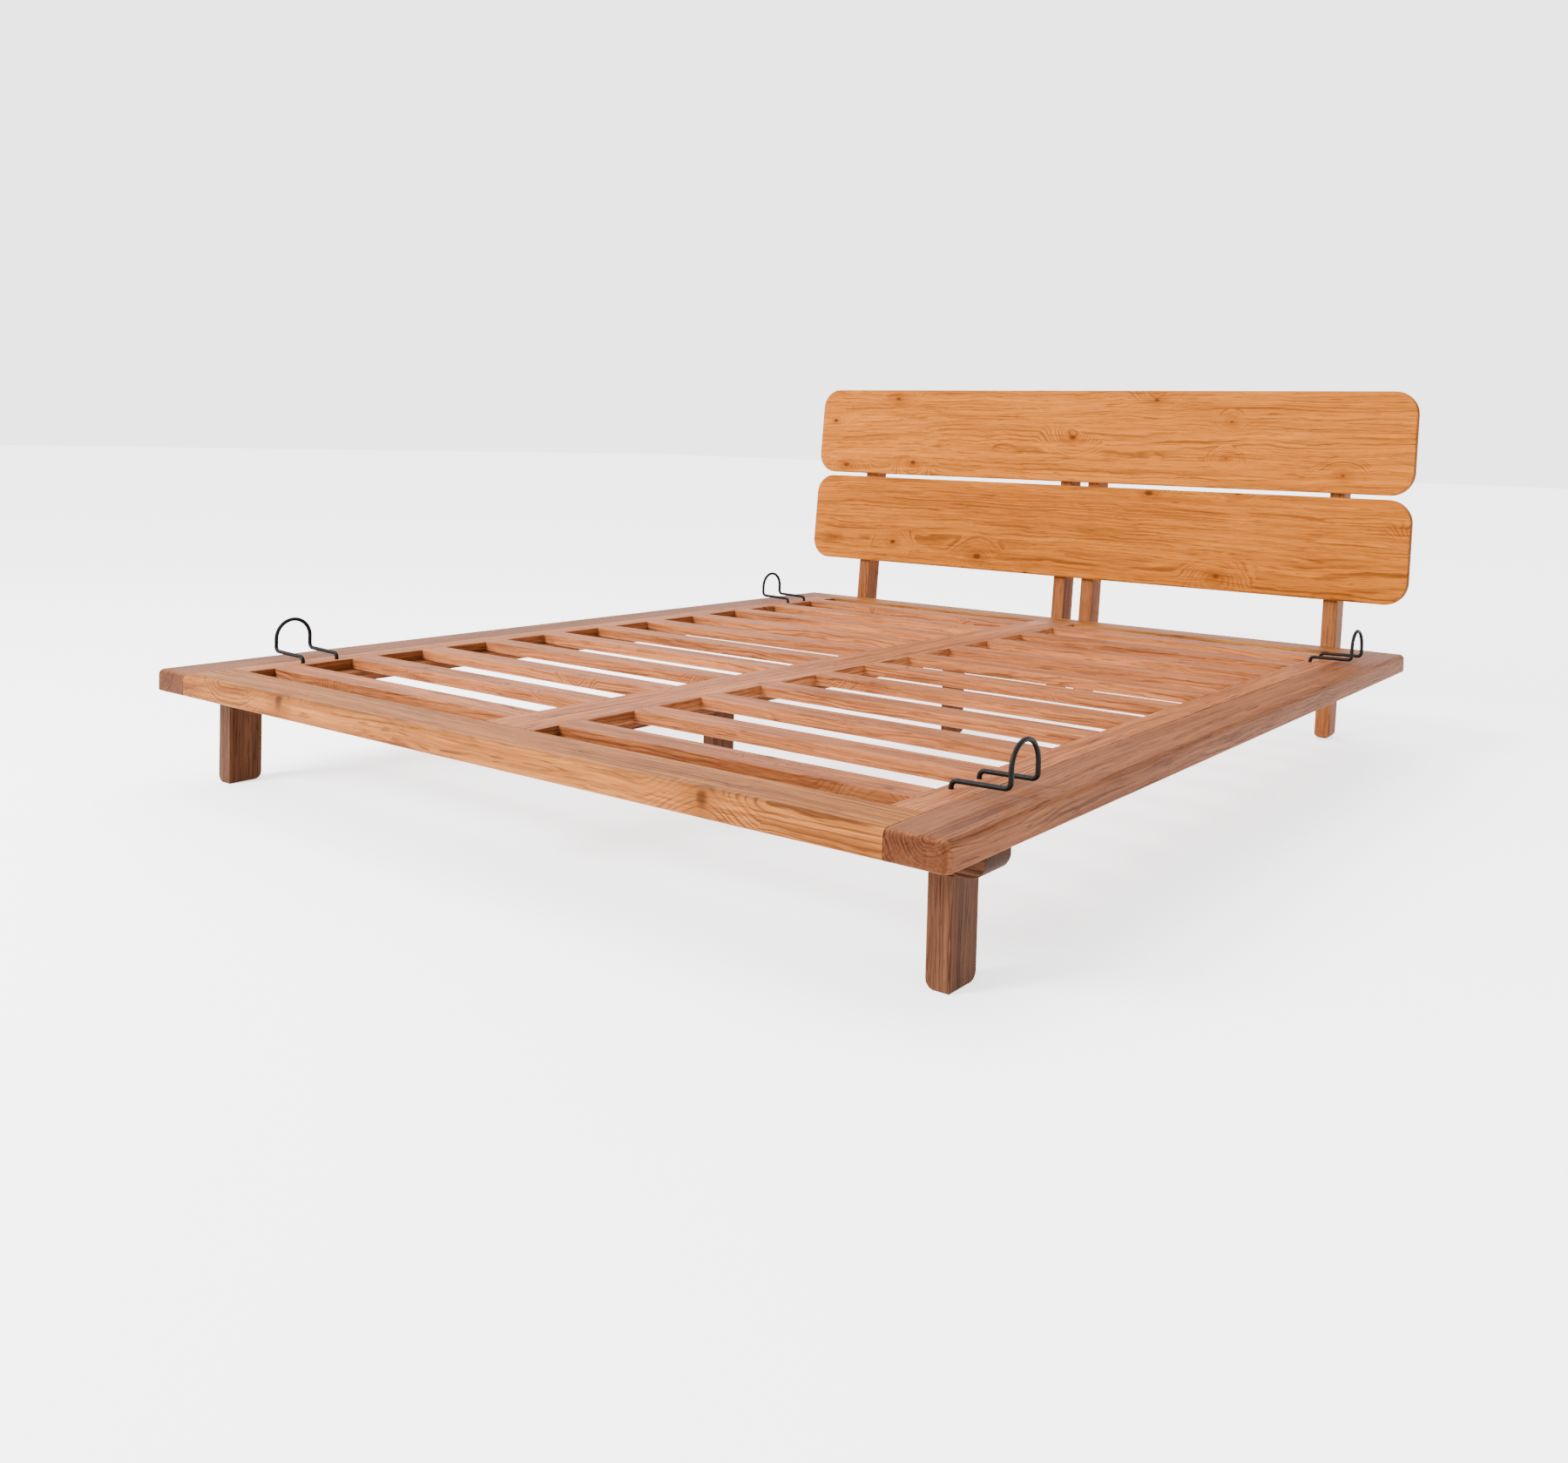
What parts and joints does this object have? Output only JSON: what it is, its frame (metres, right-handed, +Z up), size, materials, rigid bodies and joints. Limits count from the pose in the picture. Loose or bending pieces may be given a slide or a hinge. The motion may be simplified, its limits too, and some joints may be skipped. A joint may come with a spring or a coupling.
{
  "type": "bed frame",
  "caption": "Low teak platform bed with lift-out slat panels, a leaning headboard of wide rounded planks on posts, and bent-rod mattress retainers.",
  "frame": {"origin": "on the floor, in the middle of the footprint of the whole bed", "axes": "+Z up, +Y towards the head end, +X to the right seen from the foot end"},
  "size_m": [1.9, 2.2486, 0.9064],
  "materials": {
    "rail_teak": "oiled satin",
    "headboard_teak": "oiled satin",
    "post_teak": "oiled satin",
    "leg_teak": "oiled satin",
    "slat_teak": "oiled satin",
    "support_teak": "oiled satin",
    "beech_dowel": "plain",
    "dark_pin": "plain",
    "black_rod": "satin black",
    "zinc_steel": "zinc plated"
  },
  "bodies": {
    "frame": {"side_rail_left": "rail_teak", "side_rail_right": "rail_teak", "foot_rail": "rail_teak", "head_rail": "rail_teak", "corner_dowels": "beech_dowel", "ledge_left": "support_teak", "ledge_right": "support_teak", "centre_beam": "support_teak", "front_bearer": "leg_teak", "front_leg_left": "leg_teak", "front_leg_right": "leg_teak", "centre_leg_foot": "leg_teak", "centre_leg_head": "leg_teak", "post_left": "post_teak", "post_centre_left": "post_teak", "post_centre_right": "post_teak", "post_right": "post_teak", "plank_lower": "headboard_teak", "plank_upper": "headboard_teak", "post_bolts": "zinc_steel", "barrel_nuts": "zinc_steel", "plank_screws": "zinc_steel", "bearer_screws": "zinc_steel"},
    "slat_panel_left": {"outer_stile_left": "slat_teak", "inner_stile_left": "slat_teak", "slat_left_1": "slat_teak", "slat_left_2": "slat_teak", "slat_left_3": "slat_teak", "slat_left_4": "slat_teak", "slat_left_5": "slat_teak", "slat_left_6": "slat_teak", "slat_left_7": "slat_teak", "slat_left_8": "slat_teak", "slat_left_9": "slat_teak", "slat_left_10": "slat_teak", "slat_left_11": "slat_teak", "slat_pins_left": "dark_pin"},
    "slat_panel_right": {"outer_stile_right": "slat_teak", "inner_stile_right": "slat_teak", "slat_right_1": "slat_teak", "slat_right_2": "slat_teak", "slat_right_3": "slat_teak", "slat_right_4": "slat_teak", "slat_right_5": "slat_teak", "slat_right_6": "slat_teak", "slat_right_7": "slat_teak", "slat_right_8": "slat_teak", "slat_right_9": "slat_teak", "slat_right_10": "slat_teak", "slat_right_11": "slat_teak", "slat_pins_right": "dark_pin"},
    "retainer_left_foot": {"retainer_left_foot": "black_rod"},
    "retainer_left_head": {"retainer_left_head": "black_rod"},
    "retainer_right_foot": {"retainer_right_foot": "black_rod"},
    "retainer_right_head": {"retainer_right_head": "black_rod"}
  },
  "joints": [
    {"name": "lift_slat_panel_left", "type": "slide", "parent": "frame", "child": "slat_panel_left", "axis": [0, 0, 1], "range_m": [0, 0.35]},
    {"name": "lift_slat_panel_right", "type": "slide", "parent": "frame", "child": "slat_panel_right", "axis": [0, 0, 1], "range_m": [0, 0.35]},
    {"name": "lift_retainer_left_foot", "type": "slide", "parent": "slat_panel_left", "child": "retainer_left_foot", "axis": [0, 0, 1], "range_m": [0, 0.12]},
    {"name": "lift_retainer_left_head", "type": "slide", "parent": "slat_panel_left", "child": "retainer_left_head", "axis": [0, 0, 1], "range_m": [0, 0.12]},
    {"name": "lift_retainer_right_foot", "type": "slide", "parent": "slat_panel_right", "child": "retainer_right_foot", "axis": [0, 0, 1], "range_m": [0, 0.12]},
    {"name": "lift_retainer_right_head", "type": "slide", "parent": "slat_panel_right", "child": "retainer_right_head", "axis": [0, 0, 1], "range_m": [0, 0.12]}
  ]
}
